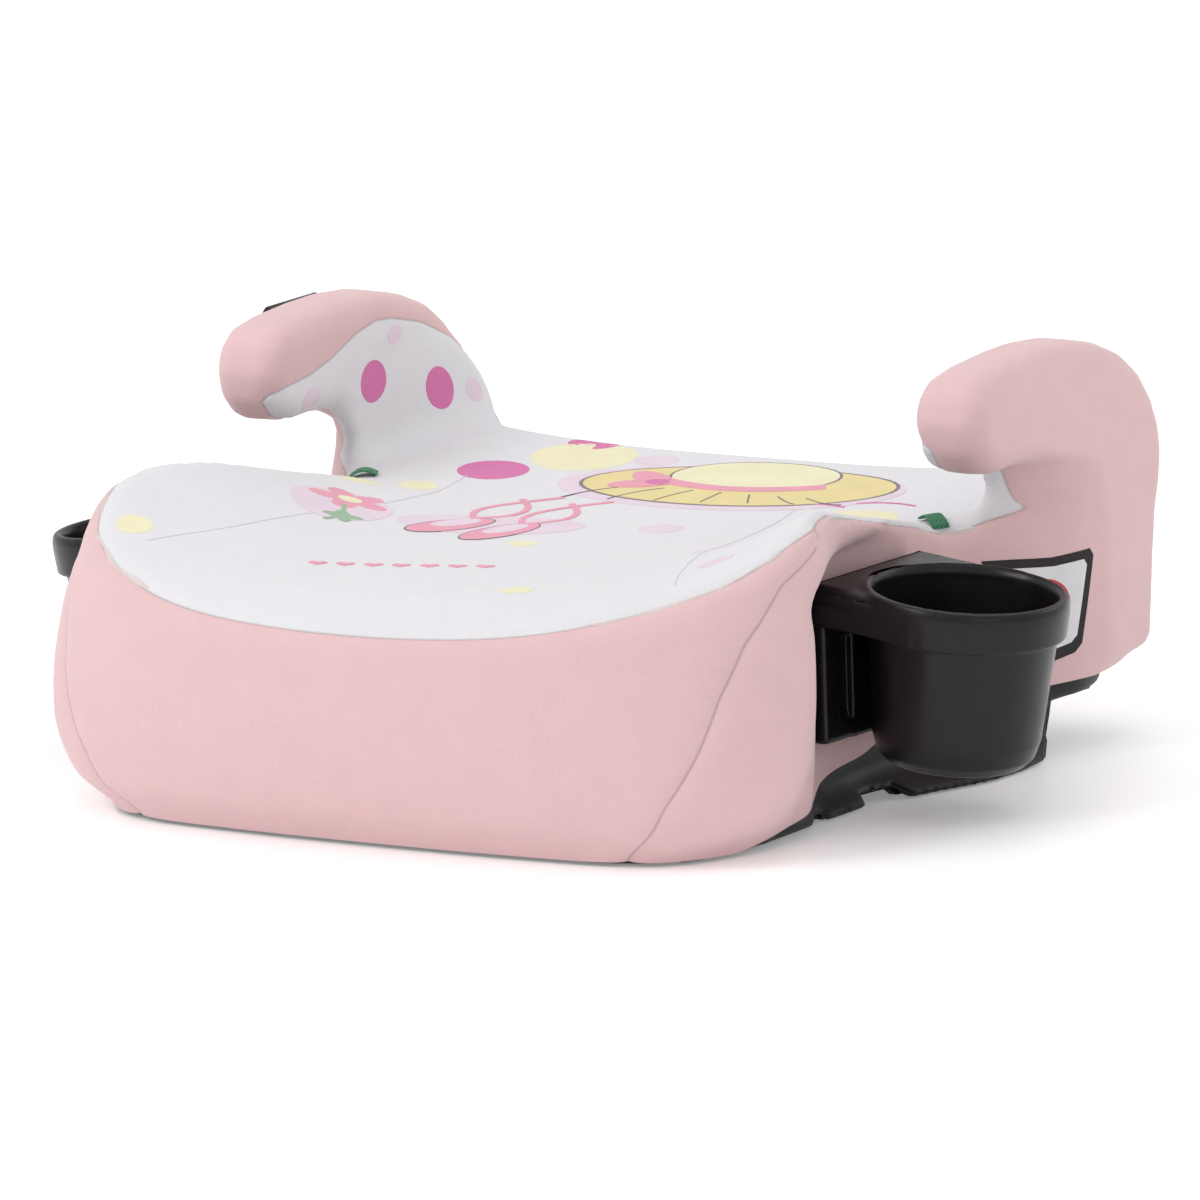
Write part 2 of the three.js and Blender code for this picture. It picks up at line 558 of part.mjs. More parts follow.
add("strap_anchor", mainBody(anchor), "black");

seat.position.y = SHIFT_Y;
export default seat;
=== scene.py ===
# Backless child booster seat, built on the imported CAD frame.
import json
import math
import bmesh
import bpy
import numpy as np
from mathutils import Matrix, Vector
from mathutils.bvhtree import BVHTree

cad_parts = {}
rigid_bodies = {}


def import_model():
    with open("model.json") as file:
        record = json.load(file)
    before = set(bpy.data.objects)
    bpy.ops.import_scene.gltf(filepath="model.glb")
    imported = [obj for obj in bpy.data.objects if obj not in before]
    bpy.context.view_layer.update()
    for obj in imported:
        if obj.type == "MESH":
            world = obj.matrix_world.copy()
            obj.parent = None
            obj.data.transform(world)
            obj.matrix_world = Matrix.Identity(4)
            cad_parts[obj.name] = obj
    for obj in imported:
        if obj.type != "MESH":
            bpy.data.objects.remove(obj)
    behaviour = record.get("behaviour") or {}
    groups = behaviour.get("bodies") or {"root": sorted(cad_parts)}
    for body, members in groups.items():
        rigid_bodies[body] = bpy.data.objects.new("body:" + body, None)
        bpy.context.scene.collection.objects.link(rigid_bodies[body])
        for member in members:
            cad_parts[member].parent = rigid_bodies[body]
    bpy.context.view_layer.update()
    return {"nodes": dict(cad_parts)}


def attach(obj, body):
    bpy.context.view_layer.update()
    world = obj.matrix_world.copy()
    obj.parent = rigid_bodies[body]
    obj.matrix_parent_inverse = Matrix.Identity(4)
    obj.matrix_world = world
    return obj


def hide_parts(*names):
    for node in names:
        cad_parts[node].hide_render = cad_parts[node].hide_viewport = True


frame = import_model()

SHIFT = np.array([0, 5.0, 0])      # shape curves are written before this shift, in millimetres
FRONT_Y = -216.0


# ---------------------------------------------------------------- shape curves (millimetres)
def curve(points):
    """A smooth function through [position, value] points, level at both ends."""
    xs = np.array([p[0] for p in points], float)
    ys = np.array([p[1] for p in points], float)
    m = np.zeros(len(xs))
    for i in range(1, len(xs) - 1):
        a = (ys[i] - ys[i - 1]) / (xs[i] - xs[i - 1])
        b = (ys[i + 1] - ys[i]) / (xs[i + 1] - xs[i])
        m[i] = 0 if a * b <= 0 else 2 * a * b / (a + b)
    fine = np.linspace(xs[0], xs[-1], 600)
    k = np.clip(np.searchsorted(xs, fine, side="right") - 1, 0, len(xs) - 2)
    h = xs[k + 1] - xs[k]
    t = (fine - xs[k]) / h
    v = (ys[k] * (1 + 2 * t) * (1 - t) ** 2 + m[k] * h * t * (1 - t) ** 2
         + ys[k + 1] * t * t * (3 - 2 * t) + m[k + 1] * h * t * t * (t - 1))
    return lambda q: np.interp(q, fine, v)


crest_x = curve([[-150, 213], [-125, 210], [-103, 205], [-78, 195], [-46, 184], [-27, 181],
                 [-6, 179.5], [9, 179], [31, 177], [48, 176], [60, 175], [80, 185], [105, 203],
                 [130, 212]])
foot_x = curve([[-180, 166], [-125, 173], [-29, 178], [11, 192], [58, 208], [95, 206], [140, 203],
                [180, 196]])
foot_share = curve([[0, 1], [20, 0.5], [46, 0.14], [75, 0.02], [95, 0]])
waist = curve([[-150, 0], [-125, 5], [-110, 11], [-90, 18], [-77, 22], [-60, 23], [-47, 22],
               [-20, 18], [0, 14], [25, 9.5], [44, 6], [64, 0]])
beside_holder = curve([[-110, 0], [-68, 1], [50, 1], [80, 0]])
waist_fade = curve([[108, 1], [136, 0]])
top_in = curve([[95, 0], [122, 4], [143, 9]])
front_in = curve([[0, 26], [20, 13], [46, 5], [75, 0.5], [95, 0], [107, 1], [125, 11], [160, 26]])
rear_y = curve([[0, 178], [28, 181], [45, 184], [62, 187], [80, 190], [100, 194], [120, 198],
                [160, 200]])
seat_middle = curve([[-216, 112], [-170, 118], [-110, 117], [-40, 114], [40, 113], [110, 116],
                     [190, 119.5]])
crest_z = curve([[-216, 132], [-160, 146], [-130, 155.7], [-105, 161], [-80, 164.5], [-60, 163],
                 [-45, 158.8], [-22, 150.9], [0, 142.9], [20, 136.6], [43, 129.4], [65, 122],
                 [90, 124], [130, 130], [190, 137]])
crest_roll = curve([[-130, 16], [-78, 18], [-46, 14], [-27, 10], [-6, 6], [9, 4], [60, 4]])
hem_z = curve([[-146, 2.5], [-128, 5], [-85, 12], [-43, 19], [-15, 22], [5, 28], [60, 35],
               [108, 37], [165, 39]])
ARM_PROFILE = [[95, 40], [96, 100], [95, 118], [93, 132], [88, 142], [78, 149.5], [60, 151.5],
               [40, 151], [28, 154], [19, 164], [16, 178], [20, 190], [30, 198], [48, 201],
               [72, 202.5], [98, 203], [125, 201], [150, 195.5], [170, 188], [185, 178],
               [197, 164], [204, 149], [206, 134], [203, 119], [197, 105], [193, 85], [189, 60], [186, 40]]

# white panel on an armrest's inner side
INNER_PANEL = [[6, 156], [14, 164], [27, 170], [50, 172.5], [69, 177], [94, 186], [113, 189.5],
               [127, 188.5], [155, 182], [183, 170], [200, 156], [212, 140], [222, 120], [226, 55],
               [70, 55], [83, 112], [80, 130], [76, 141], [68, 146.5], [56, 149], [40, 147.5],
               [12, 148]]


def bow(x, z):
    u = x / 200
    return (30 * u ** 2 + 42 * u ** 4) * (0.3 + 0.7 * np.clip(z / 107, 0, 1))


def seam_z(x):
    u = np.minimum(np.abs(x), 205) / 200
    return 107.6 + 19.4 * u ** 2 + 16.5 * u ** 4


def step(v, lo, hi):
    t = np.clip((v - lo) / (hi - lo), 0, 1)
    return t * t * (3 - 2 * t)


def smax(a, b, k):
    h = np.maximum(k - np.abs(a - b), 0) / k
    return np.maximum(a, b) + h * h * k / 4


def smin(a, b, k):
    return -smax(-a, -b, k)


def outside_wall(x, y, z):
    crest = crest_x(y) - waist(y) * waist_fade(z)
    share = foot_share(z) ** (1 + 3 * beside_holder(y))
    side = np.abs(x) - (crest + (foot_x(y) - crest) * share - top_in(z))
    front = FRONT_Y + front_in(z) + bow(x, z) - y
    rear = y - rear_y(z) + 5 * (x / 200) ** 2
    return smax(smax(side, front, 46), rear, 46)


def top_z(x, y):
    half = crest_x(y)
    middle = seat_middle(y)
    dish = middle + (crest_z(y) - middle) * np.clip(np.abs(x) / half, 0, 1) ** 3.1
    back = np.clip((y - FRONT_Y - bow(x, 107)) / 50, 0, 1)
    front = seam_z(x)
    edge = 1 - np.clip((half - np.abs(x)) / 24, 0, 1)
    rear = 1 - np.clip((200 - y) / 25, 0, 1)
    return (front + (dish - front) * (1 - (1 - back) ** 2) - crest_roll(y) * edge ** 2 * back
            - 3 * rear ** 2)


def outline_field(points, u_range=(-10, 241), v_range=(20, 231), pitch=1.0):
    """Signed distance to a closed outline, on a grid over its two axes."""
    p = np.array(points + points[:1], float)
    ys, zs = np.arange(*u_range, pitch), np.arange(*v_range, pitch)
    gy, gz = np.meshgrid(ys, zs, indexing="ij")
    best = np.full(gy.shape, 1e9)
    inside = np.zeros(gy.shape, bool)
    for (ay, az), (by, bz) in zip(p[:-1], p[1:]):
        dy, dz = by - ay, bz - az
        t = np.clip(((gy - ay) * dy + (gz - az) * dz) / (dy * dy + dz * dz), 0, 1)
        best = np.minimum(best, np.hypot(gy - ay - t * dy, gz - az - t * dz))
        crosses = ((az > gz) != (bz > gz)) & (gy < dy * (gz - az) / (dz if dz else 1e-9) + ay)
        inside ^= crosses
    d = np.where(inside, -best, best)
    for _ in range(3):      # rounds the outline's corners a little
        d[1:-1, 1:-1] = (d[1:-1, 1:-1] * 4 + d[:-2, 1:-1] + d[2:, 1:-1] + d[1:-1, :-2]
                         + d[1:-1, 2:]) / 8
    return ys, zs, d


ARM_FIELD = outline_field(ARM_PROFILE)
INNER_FIELD = outline_field(INNER_PANEL)


def sample(grid, y, z):
    ys, zs, d = grid
    pitch = ys[1] - ys[0]
    fy = np.clip((y - ys[0]) / pitch, 0, len(ys) - 1.001)
    fz = np.clip((z - zs[0]) / pitch, 0, len(zs) - 1.001)
    i, j = fy.astype(int), fz.astype(int)
    u, v = fy - i, fz - j
    return ((d[i, j] * (1 - u) + d[i + 1, j] * u) * (1 - v)
            + (d[i, j + 1] * (1 - u) + d[i + 1, j + 1] * u) * v)


def arm_outline(y, z):
    return sample(ARM_FIELD, y, z)


def arm_field(x, y, z, r=13.0):
    """An armrest's rounded slab, thickening inwards towards the seat's rear corner."""
    spread = 16 * np.clip((y - 110) / 90, 0, 1) * np.clip((175 - z) / 50, 0, 1)
    inner, outer = 178 - spread, 214.5
    across = np.abs(np.abs(x) - (inner + outer) / 2) - (outer - inner) / 2
    slant = np.clip((np.abs(x) - 178) / 36, 0, 1) * 47 - 12
    slant = slant * (1 - step(y, 128, 200)) * (1 - step(z, 140, 157))
    a, b = arm_outline(y - slant, z) + r, across + r
    return np.hypot(np.maximum(a, 0), np.maximum(b, 0)) + np.minimum(np.maximum(a, b), 0) - r


def cushion_field(x, y, z):
    return smax(outside_wall(x, y, z), z - top_z(x, y), 13)


CUP_AT = np.array([227.8, -20.8, 107.3])
CUP_TILT, CUP_YAW = math.radians(6), math.radians(4.5)


def block(q, lo, hi, k=1.5):
    """A box with softened edges; a list of six faces joined one after another."""
    d = None
    for axis, (a, b) in enumerate(zip(lo, hi)):
        for face in (a - q[axis], q[axis] - b):
            d = face if d is None else smax(d, face, k)
    return d


def holder_room(x, y, z):
    """Room beside the cushion that a cup holder needs over its whole lift."""
    c, s = math.cos(CUP_YAW), math.sin(CUP_YAW)
    u, w = np.abs(x) - CUP_AT[0], y - CUP_AT[1]
    return block((u * c - w * s, u * s + w * c, z - CUP_AT[2]), (-62, -53, -73), (80, 53, 18.5), 4)


def body_field(x, y, z):
    d = smin(cushion_field(x, y, z), arm_field(x, y, z), 16)
    d = smax(d, -holder_room(x, y, z), 6)
    return smax(d, -z, 4)


# ---------------------------------------------------------------- meshing
def surface_net(field, lo, hi, step):
    """Vertices and quads of field = 0 in a box, pulled onto the surface."""
    axes = [np.arange(a, b + step, step) for a, b in zip(lo, hi)]
    g = np.meshgrid(*axes, indexing="ij")
    v = field(*g)
    neg = v < 0
    shape = np.array(v.shape) - 1
    corners = [(i, j, k) for i in (0, 1) for j in (0, 1) for k in (0, 1)]
    total = np.zeros(tuple(shape) + (3,))
    count = np.zeros(tuple(shape))

    def part(a, c):
        return a[c[0]:c[0] + shape[0], c[1]:c[1] + shape[1], c[2]:c[2] + shape[2]]

    for c in corners:
        for axis in range(3):
            if c[axis]:
                continue
            e = list(c)
            e[axis] = 1
            a, b = part(v, c), part(v, e)
            cross = (a < 0) != (b < 0)
            t = np.where(cross, a / np.where(cross, a - b, 1), 0)
            p = np.array(c, float)
            for q in range(3):
                total[..., q] += np.where(cross, p[q] + (t if q == axis else 0), 0)
            count += cross
    used = count > 0
    index = np.full(tuple(shape), -1)
    index[used] = np.arange(used.sum())
    cell = np.argwhere(used)
    verts = (cell + total[used] / count[used][:, None]) * step + np.array([a[0] for a in axes])
    quads = []
    for axis in range(3):
        u, w = (axis + 1) % 3, (axis + 2) % 3
        sl = [slice(1, -1)] * 3
        sl[axis] = slice(0, -1)
        nx = list(sl)
        nx[axis] = slice(1, None)
        a, b = neg[tuple(sl)], neg[tuple(nx)]
        at = np.argwhere(a != b)
        flip = a[a != b]
        base = at.copy()
        base[:, u] += 1
        base[:, w] += 1
        c = [base.copy() for _ in range(4)]
        c[1][:, u] -= 1
        c[2][:, u] -= 1
        c[2][:, w] -= 1
        c[3][:, w] -= 1
        q = np.stack([index[tuple(k.T)] for k in c], 1)
        q[~flip] = q[~flip][:, ::-1]
        quads.append(q[:, ::-1])
    quads = np.concatenate(quads)
    return verts, quads[(quads >= 0).all(1)]


def gradient(field, p, h=0.5):
    g = np.stack([(field(*(p + h * e).T) - field(*(p - h * e).T)) / (2 * h) for e in np.eye(3)], 1)
    return g


def settle(field, p, rounds=3, most=3.0, h=0.5):
    for _ in range(rounds):
        g = gradient(field, p, h)
        n2 = np.maximum((g ** 2).sum(1), 0.3)
        p = p - np.clip(field(*p.T) / n2, -most, most)[:, None] * g
    return p


def split(verts, tris, values, extra):
    """Cuts triangles along values = 0. extra holds more per-vertex columns, carried along."""
    values = np.where(np.abs(values) < 1e-6, 1e-6, values)
    edges = {}
    verts, values, extra = list(verts), list(values), list(extra)

    def cut(a, b):
        key = (a, b) if a < b else (b, a)
        if key not in edges:
            t = values[a] / (values[a] - values[b])
            edges[key] = len(verts)
            verts.append(verts[a] + t * (verts[b] - verts[a]))
            extra.append(extra[a] + t * (extra[b] - extra[a]))
            values.append(0.0)
        return edges[key]

    sign = np.array(values)[tris] > 0
    same = sign.all(1) | (~sign).all(1)
    faces = [tuple(t) for t in tris[same]]
    side = list(sign[same][:, 0])
    for t, s in zip(tris[~same], sign[~same]):
        k = [i for i in range(3) if s[i] != s[i - 1] and s[i] != s[(i + 1) % 3]][0]
        a, b, c = t[k], t[(k + 1) % 3], t[(k + 2) % 3]
        ab, ca = cut(a, b), cut(c, a)
        faces += [(a, ab, ca), (ab, b, c), (ab, c, ca)]
        side += [s[k], not s[k], not s[k]]
    return np.array(verts), np.array(faces), np.array(values), np.array(extra), np.array(side)


def make_object(name, verts, faces, body):
    """A smooth-shaded mesh that rides a body. verts are in millimetres, before the shift."""
    mesh = bpy.data.meshes.new(name)
    pts = (np.asarray(verts, float) + SHIFT) / 1000
    mesh.from_pydata(pts.tolist(), [], [tuple(int(i) for i in f) for f in faces])
    mesh.validate()
    mesh.shade_smooth()
    obj = bpy.data.objects.new(name, mesh)
    bpy.context.scene.collection.objects.link(obj)
    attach(obj, body)
    return obj


def face_outwards(obj, merge=0.0):
    """Turns a closed mesh's faces outwards, after joining points closer than merge."""
    bm = bmesh.new()
    bm.from_mesh(obj.data)
    if merge:
        bmesh.ops.remove_doubles(bm, verts=bm.verts, dist=merge)
    bmesh.ops.recalc_face_normals(bm, faces=bm.faces)
    bm.to_mesh(obj.data)
    bm.free()


# ---------------------------------------------------------------- materials
class Nodes:
    """Short helpers for writing a material's nodes."""

    def __init__(self, name):
        self.mat = bpy.data.materials.new(name)
        self.mat.use_nodes = True
        self.tree = self.mat.node_tree
        self.bsdf = self.tree.nodes["Principled BSDF"]

    def new(self, kind, **inputs):
        n = self.tree.nodes.new(kind)
        for k, v in inputs.items():
            if k in n.inputs:
                self.put(n.inputs[k], v)
            else:
                setattr(n, k, v)
        return n

    def put(self, socket, v):
        if isinstance(v, bpy.types.NodeSocket):
            self.tree.links.new(v, socket)
        else:
            socket.default_value = v

    def math(self, op, a, b=0.0, c=0.0):
        n = self.tree.nodes.new("ShaderNodeMath")
        n.operation = op
        for s, v in zip(n.inputs, (a, b, c)):
            self.put(s, v)
        return n.outputs[0]

    def noise(self, co, scale, detail=3.0, rough=0.5):
        n = self.new("ShaderNodeTexNoise", Scale=scale, Detail=detail, Roughness=rough)
        self.put(n.inputs["Vector"], co)
        return n.outputs["Fac"]

    def ramp(self, v, lo, hi, a=0.0, b=1.0):
        n = self.new("ShaderNodeMapRange")
        n.interpolation_type = "SMOOTHSTEP"
        for s, q in zip(n.inputs, (v, lo, hi, a, b)):
            self.put(s, q)
        return n.outputs[0]

    def mix(self, f, a, b):
        n = self.tree.nodes.new("ShaderNodeMix")
        n.data_type = "RGBA"
        self.put(n.inputs[0], f)
        self.put(n.inputs[6], a)
        self.put(n.inputs[7], b)
        return n.outputs[2]

    def coords(self):
        t = self.new("ShaderNodeTexCoord")
        s = self.new("ShaderNodeSeparateXYZ")
        self.put(s.inputs[0], t.outputs["Object"])
        return t.outputs["Object"], s.outputs

    def bump(self, height, distance, strength=1.0, normal=None):
        n = self.new("ShaderNodeBump", Strength=strength, Distance=distance)
        self.put(n.inputs["Height"], height)
        if normal is not None:
            self.put(n.inputs["Normal"], normal)
        return n.outputs[0]


def rgba(c):
    return (*c, 1.0)


def lighter(c, k):
    return tuple(min(1.0, v * k) for v in c)


def weave_height(m, xyz, pitch):
    """Woven threads on whichever pair of axes the surface lies in."""
    k = 2 * math.pi / pitch
    waves = [m.math("SINE", m.math("MULTIPLY", xyz[i], k)) for i in range(3)]
    geo = m.new("ShaderNodeNewGeometry")
    n = m.new("ShaderNodeSeparateXYZ")
    m.put(n.inputs[0], geo.outputs["Normal"])
    total = 0.0
    for i in range(3):
        a, b = (i + 1) % 3, (i + 2) % 3
        w = m.math("MULTIPLY", waves[a], waves[b])
        total = m.math("ADD", total, m.math("MULTIPLY", w, m.math("ABSOLUTE", n.outputs[i])))
    return total


def fabric(name, colour, pitch=0.0011, sheen=0.25, rough=0.82, seams=True, contrast=0.05):
    """Woven cloth with soft creases, darker in its seams, which lie where the seam attribute is 0."""
    m = Nodes(name)
    co, xyz = m.coords()
    weave = weave_height(m, xyz, pitch)
    fuzz = m.noise(co, 900, 2)
    mottle = m.noise(co, 60, 4)
    soft = m.noise(co, 14, 2)
    base = m.mix(m.ramp(mottle, 0.3, 0.7), rgba(lighter(colour, 1 - contrast)),
                 rgba(lighter(colour, 1 + contrast)))
    base = m.mix(m.ramp(weave, -1, 1, 0.0, 0.35), base, rgba(lighter(colour, 0.86)))
    height = m.math("ADD", m.math("MULTIPLY", weave, 0.5), m.math("MULTIPLY", fuzz, 0.4))
    normal = m.bump(height, 0.00012, 0.7)
    normal = m.bump(soft, 0.003, 0.25, normal)
    if seams:
        seam = m.new("ShaderNodeAttribute", attribute_name="seam").outputs["Fac"]
        near = m.math("ABSOLUTE", seam)
        groove = m.ramp(near, 0.0, 0.9)
        base = m.mix(groove, rgba(lighter(colour, 0.74)), base)
        normal = m.bump(groove, 0.0005, 0.7, normal)
    m.put(m.bsdf.inputs["Base Color"], base)
    m.put(m.bsdf.inputs["Normal"], normal)
    m.bsdf.inputs["Roughness"].default_value = rough
    m.bsdf.inputs["Sheen Weight"].default_value = sheen
    m.bsdf.inputs["Sheen Roughness"].default_value = 0.45
    m.bsdf.inputs["Specular IOR Level"].default_value = 0.25
    return m.mat


def plastic(name, colour, rough=0.38, grain=0.35, grain_scale=1800):
    """Moulded plastic or rubber with a fine grain and a slightly uneven polish."""
    m = Nodes(name)
    co, _ = m.coords()
    fine = m.noise(co, grain_scale, 2)
    wear = m.noise(co, 30, 4)
    base = m.mix(m.ramp(wear, 0.35, 0.75), rgba(colour), rgba(lighter(colour, 1.25)))
    m.put(m.bsdf.inputs["Base Color"], base)
    m.put(m.bsdf.inputs["Roughness"], m.ramp(wear, 0.25, 0.8, rough - 0.05, rough + 0.07))
    m.put(m.bsdf.inputs["Normal"], m.bump(fine, 0.00008, grain))
    m.bsdf.inputs["Specular IOR Level"].default_value = 0.3
    return m.mat


def metal(name):
    """Bare zinc-plated steel."""
    m = Nodes(name)
    co, _ = m.coords()
    fine = m.noise(co, 500, 3)
    m.put(m.bsdf.inputs["Base Color"], m.mix(fine, rgba((0.5, 0.5, 0.52)), rgba((0.7, 0.7, 0.72))))
    m.put(m.bsdf.inputs["Roughness"], m.ramp(fine, 0.2, 0.8, 0.25, 0.45))
    m.bsdf.inputs["Metallic"].default_value = 1.0
    return m.mat


def ribbed(name, colour, pitch, axis=0, rough=0.75, sheen=0.15):
    """Webbing or ribbon with ribs across one axis."""
    m = Nodes(name)
    _, xyz = m.coords()
    k = 2 * math.pi / pitch
    a = m.math("SINE", m.math("MULTIPLY", xyz[axis], k))
    b = m.math("SINE", m.math("MULTIPLY", xyz[2], k * 0.7))
    h = m.math("ADD", a, m.math("MULTIPLY", b, 0.6))
    base = m.mix(m.ramp(h, -1.4, 1.4), rgba(lighter(colour, 0.75)), rgba(lighter(colour, 1.2)))
    m.put(m.bsdf.inputs["Base Color"], base)
    m.put(m.bsdf.inputs["Normal"], m.bump(h, 0.0003, 0.8))
    m.bsdf.inputs["Roughness"].default_value = rough
    m.bsdf.inputs["Sheen Weight"].default_value = sheen
    return m.mat


PINK = (0.70, 0.475, 0.485)
WHITE = (0.70, 0.69, 0.715)
pink_cloth = fabric("pink_cloth", PINK, contrast=0.015)
white_cloth = fabric("white_cloth", WHITE, contrast=0.01, sheen=0.1)
black_plastic = plastic("black_plastic", (0.022, 0.02, 0.023), 0.42)
base_plastic = plastic("base_plastic", (0.007, 0.006, 0.007), 0.42, 0.2)
steel = metal("zinc_steel")
holder_plastic = plastic("holder_plastic", (0.006, 0.005, 0.006), 0.3, 0.15)
gloss_plastic = plastic("gloss_plastic", (0.008, 0.007, 0.008), 0.2, 0.05)
rubber = plastic("pad_rubber", (0.018, 0.018, 0.018), 0.8, 0.6, 900)
green_ribbon = ribbed("green_ribbon", (0.03, 0.2, 0.085), 0.0012)
black_webbing = ribbed("black_webbing", (0.016, 0.016, 0.018), 0.0022, 1)
foam_skin = fabric("foam_skin", (0.66, 0.60, 0.58), 0.002, 0.1, 0.95, seams=False)
core_foam = plastic("core_foam", (0.05, 0.05, 0.055), 0.85, 1.0, 300)


# finishes of the CAD nodes that stay visible, by a part of their name, first match first
NODE_FINISH = {"foot_pad": rubber, "screw": steel, "base_shell": base_plastic,
               "strap_anchor": base_plastic, "cup_rail": base_plastic,
               "armrest_frame": base_plastic, "seat_core": core_foam, "foam": foam_skin}
for node_name, node in frame["nodes"].items():
    for key, mat in NODE_FINISH.items():
        if key in node_name:
            node.data.materials.clear()
            node.data.materials.append(mat)
            break


# ---------------------------------------------------------------- sewn cover
STEP = 4.0                # mesh size of the cover
WHITE_X = 188             # the white inner panel ends here on an armrest's rounded edge
REAR_SEAM_TOP = 128


def cover_points():
    """The whole cover as one closed triangle mesh."""
    v, q = surface_net(body_field, (-226, -226, -6), (226, 216, 212), STEP)
    v = settle(body_field, v)
    tris = np.concatenate([q[:, [0, 1, 2]], q[:, [0, 2, 3]]])
    return v, tris


def white_seam(x, y, z):
    """Negative on the white panels, 0 at their seam, positive on the pink ones."""
    cush, arm = cushion_field(x, y, z), arm_field(x, y, z)
    crest = outside_wall(x, y, z) - (z - top_z(x, y)) + 1.0
    on_arm = smax(np.abs(x) - WHITE_X, sample(INNER_FIELD, y, z), 4)
    near_arm = (cush - arm) * 0.7
    return smax(crest, smin(on_arm, near_arm, 12), 5)


def side_seam(x, y, z):
    """Negative on the front panel, positive on the side panels."""
    sx = np.interp(z, [4, 31, 55, 81, 104, 128, 142], [146, 159, 169, 182, 194, 203, 206])
    sy = np.interp(z, [4, 31, 55, 81, 104, 128, 142], [-190, -188, -178, -172, -162, -138, -104])
    return (np.abs(x) - sx) * 0.6 + (y - sy) * 0.8


def rear_seam(x, y, z):
    """Negative on the side panels, positive on the rear one."""
    return (y - 178) * 0.75 - (np.abs(x) - 170) * 0.65


v, tris = cover_points()
hem = v[:, 2] - hem_z(v[:, 1])
v, tris, _, _, keep = split(v, tris, hem, np.zeros((len(v), 1)))
tris = tris[keep]
v, tris, _, _, pink = split(v, tris, white_seam(*v.T), np.zeros((len(v), 1)))
white_tris, pink_tris = tris[~pink], tris[pink]


def compact(v, tris):
    """Only the points that some triangles use."""
    used, inv = np.unique(tris, return_inverse=True)
    return v[used], inv.reshape(-1, 3)


def seam_distance(v):
    """Unsigned distance to the nearest seam, in millimetres."""
    x, y, z = v.T

    def true(f):
        g = np.linalg.norm(gradient(lambda a, b, c: f(a, b, c), v), axis=1)
        return np.abs(f(x, y, z)) / np.maximum(g, 0.35)

    w = true(white_seam)
    pink = white_seam(x, y, z) > -0.5
    s = np.where(pink & (y < 0), true(side_seam), 99)
    r = np.where(pink & (y > 100) & (z < 130), true(rear_seam), 99)
    return np.minimum(w, np.minimum(s, r))


def dressed(v):
    """Puffs a panel between its seams and draws the seams in."""
    n = gradient(body_field, v)
    n /= np.linalg.norm(n, axis=1)[:, None]
    d = seam_distance(v)
    lift = 1.1 * (1 - np.exp(-(d / 7.0) ** 1.5)) - 0.7 * np.exp(-(d / 1.6) ** 2)
    return v + n * lift[:, None]


def cover_panel(name, v, tris, mat, nodes):
    """One sewn panel, standing for CAD nodes. Its seam attribute drives the fabric's seams."""
    v, tris = compact(v, tris)
    d = seam_distance(v)
    obj = make_object(name, dressed(v), tris, "seat")
    at = obj.data.attributes.new("seam", "FLOAT", "POINT")
    at.data.foreach_set("value", d.astype(np.float32))
    obj.data.materials.append(mat)
    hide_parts(*nodes)
    return obj


front_v, tris, _, _, beside = split(v, pink_tris, side_seam(*v.T), np.zeros((len(v), 1)))
front_tris, rest = tris[~beside], tris[beside]
side_v, tris, _, _, behind = split(front_v, rest, rear_seam(*front_v.T), np.zeros((len(front_v), 1)))
rear = behind & (side_v[tris].mean(1)[:, 2] < REAR_SEAM_TOP)
rear_tris, side_tris = tris[rear], tris[~rear]
left = side_v[side_tris].mean(1)[:, 0] < 0
cover_panel("cover_top_panel", v, white_tris, white_cloth,
            ["cover_top", "cover_armrest_inner_left", "cover_armrest_inner_right"])
cover_panel("cover_front_panel", front_v, front_tris, pink_cloth, ["cover_front"])
cover_panel("cover_rear_panel", side_v, rear_tris, pink_cloth, ["cover_rear"])
for name, tri in (("left", side_tris[left]), ("right", side_tris[~left])):
    cover_panel("cover_side_panel_" + name, side_v, tri, pink_cloth,
                ["cover_side_" + name, "cover_armrest_outer_" + name])


# ---------------------------------------------------------------- moulded pieces
def net_object(name, field, lo, hi, step_mm, body, mat, place=None, mirror=False, nodes=()):
    """One closed piece from a distance field, smooth where its faces meet."""
    v, q = surface_net(field, lo, hi, step_mm)
    v = settle(field, v, 2, 0.3 * step_mm, 0.25)
    if place is not None:
        v = place(v)
    if mirror:
        v = v * [-1, 1, 1]
        q = q[:, ::-1]
    obj = make_object(name, v, q, body)
    obj.data.materials.append(mat)
    if nodes:
        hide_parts(*nodes)
    return obj


CUP_WALLS = outline_field([[-20, -83], [27, -83], [33, -81.5], [37.5, -77], [40, -69], [44.8, -18.5],
                           [48.8, -17.8], [49.6, -6], [49.5, -2], [48.4, 1], [46.6, 1.9],
                           [44.7, 1.3], [43.4, -1], [42.8, -5], [37, -67], [34, -74],
                           [28, -78.5], [-20, -78.5]], (-20, 60), (-90, 14), 0.5)
CUP_ROOM = outline_field([[-20, -78.5], [28, -78.5], [34, -74], [37, -67], [42.8, -5],
                          [43.4, -1], [44.7, 1.3], [47, 10], [-20, 10]], (-20, 60), (-90, 14), 0.5)


PLATE_BACK, PLATE_HALF, PLATE_T = -58.5, 48.5, 18      # holder plate, from the cup's axis
CHAMFER = 6                                            # along the plate's front edge
BACK_T, BACK_H = 9, 70                                 # upright back plate
SLOT_TOP = -18.2                                       # slots that hang on the rail


